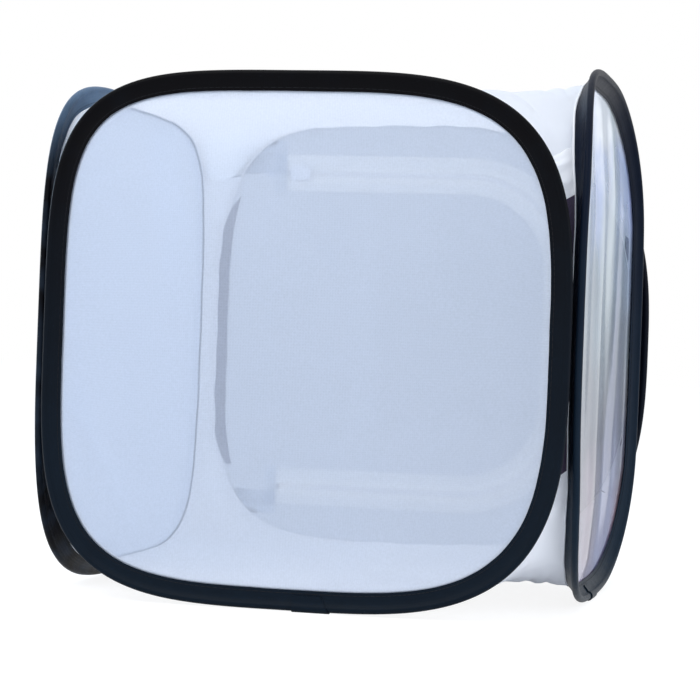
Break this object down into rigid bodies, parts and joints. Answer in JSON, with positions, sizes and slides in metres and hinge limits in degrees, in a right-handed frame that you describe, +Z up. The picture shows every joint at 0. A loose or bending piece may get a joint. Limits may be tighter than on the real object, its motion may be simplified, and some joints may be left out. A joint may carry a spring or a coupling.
{
  "type": "insect cage",
  "caption": "Square pop-up insect cage of sprung, fabric-bound loops with mesh sides, a clear window, a fabric top and floor, and a zipped mesh door in the back.",
  "frame": {"origin": "middle of the underside of the whole cage, on the ground", "axes": "+X to the window side, +Y from the front panel to the back panel with the zip door, +Z up"},
  "size_m": [0.3284, 0.3166, 0.322],
  "materials": {
    "black_binding": "dark navy-black sewn binding",
    "white_mesh": "fine white see-through mesh",
    "white_fabric": "thin white woven fabric",
    "clear_window": "clear soft sheet",
    "white_zip_tape": "white woven zip tape",
    "white_nylon": "white nylon",
    "spring_steel": "bright wire",
    "white_enamel": "white enamel on cast metal"
  },
  "bodies": {
    "front": {"floor_panel": "white_fabric", "front_binding": "black_binding", "front_ferrule": "spring_steel", "front_left_corner_tape": "black_binding", "front_mesh": "white_mesh", "front_right_corner_tape": "black_binding", "front_tape_overlap": "black_binding", "front_wire": "spring_steel", "top_panel": "white_fabric"},
    "left": {"back_left_corner_tape": "black_binding", "left_binding": "black_binding", "left_ferrule": "spring_steel", "left_mesh": "white_mesh", "left_tape_overlap": "black_binding", "left_wire": "spring_steel"},
    "back": {"back_binding": "black_binding", "back_ferrule": "spring_steel", "back_mesh": "white_mesh", "back_tape_overlap": "black_binding", "back_wire": "spring_steel", "zip_bottom_stop": "spring_steel", "zip_end_patch_bottom": "white_zip_tape", "zip_end_patch_top": "white_zip_tape", "zip_tape_outer": "white_zip_tape", "zip_teeth_outer": "white_nylon", "zip_top_stop": "spring_steel"},
    "right": {"back_right_corner_tape": "black_binding", "right_binding": "black_binding", "right_ferrule": "spring_steel", "right_tape_overlap": "black_binding", "right_window": "clear_window", "right_wire": "spring_steel"},
    "door": {"door_mesh": "white_mesh", "zip_tape_inner": "white_zip_tape", "zip_teeth_inner": "white_nylon"},
    "slider": {"zip_slider": "white_enamel"},
    "pull": {"zip_pull": "white_enamel"}
  },
  "joints": [
    {"name": "fold", "type": "hinge", "parent": "front", "child": "left", "pos_m": [-0.15883, -0.1518, 0.15], "axis": [0, 0, 1], "range_deg": [-80, 80], "deforming": ["top_panel", "floor_panel", "front_left_corner_tape"]},
    {"name": "right_fold", "type": "hinge", "parent": "front", "child": "right", "pos_m": [0.14717, -0.1518, 0.15], "axis": [0, 0, 1], "range_deg": [-80, 80], "deforming": ["front_right_corner_tape", "back_right_corner_tape"]},
    {"name": "back_fold", "type": "hinge", "parent": "left", "child": "back", "pos_m": [-0.15083, 0.1482, 0.15], "axis": [0, 0, 1], "range_deg": [-80, 80], "deforming": ["back_left_corner_tape"]},
    {"name": "door_swing", "type": "hinge", "parent": "back", "child": "door", "pos_m": [-0.07583, 0.15215, 0.15], "axis": [0, 0, 1], "range_deg": [0, 150]},
    {"name": "zip_slide", "type": "slide", "parent": "back", "child": "slider", "axis": [1, 0, 0], "range_m": [0, 0.115], "deforming": ["zip_teeth_outer", "zip_teeth_inner"]},
    {"name": "pull_swing", "type": "hinge", "parent": "slider", "child": "pull", "pos_m": [-0.08373, 0.1562, 0.271], "axis": [0, 0, 1], "range_deg": [-170, 0]}
  ],
  "couplings": [
    {"joint": "right_fold", "follows": "fold", "ratio": 1},
    {"joint": "back_fold", "follows": "fold", "ratio": -1}
  ]
}
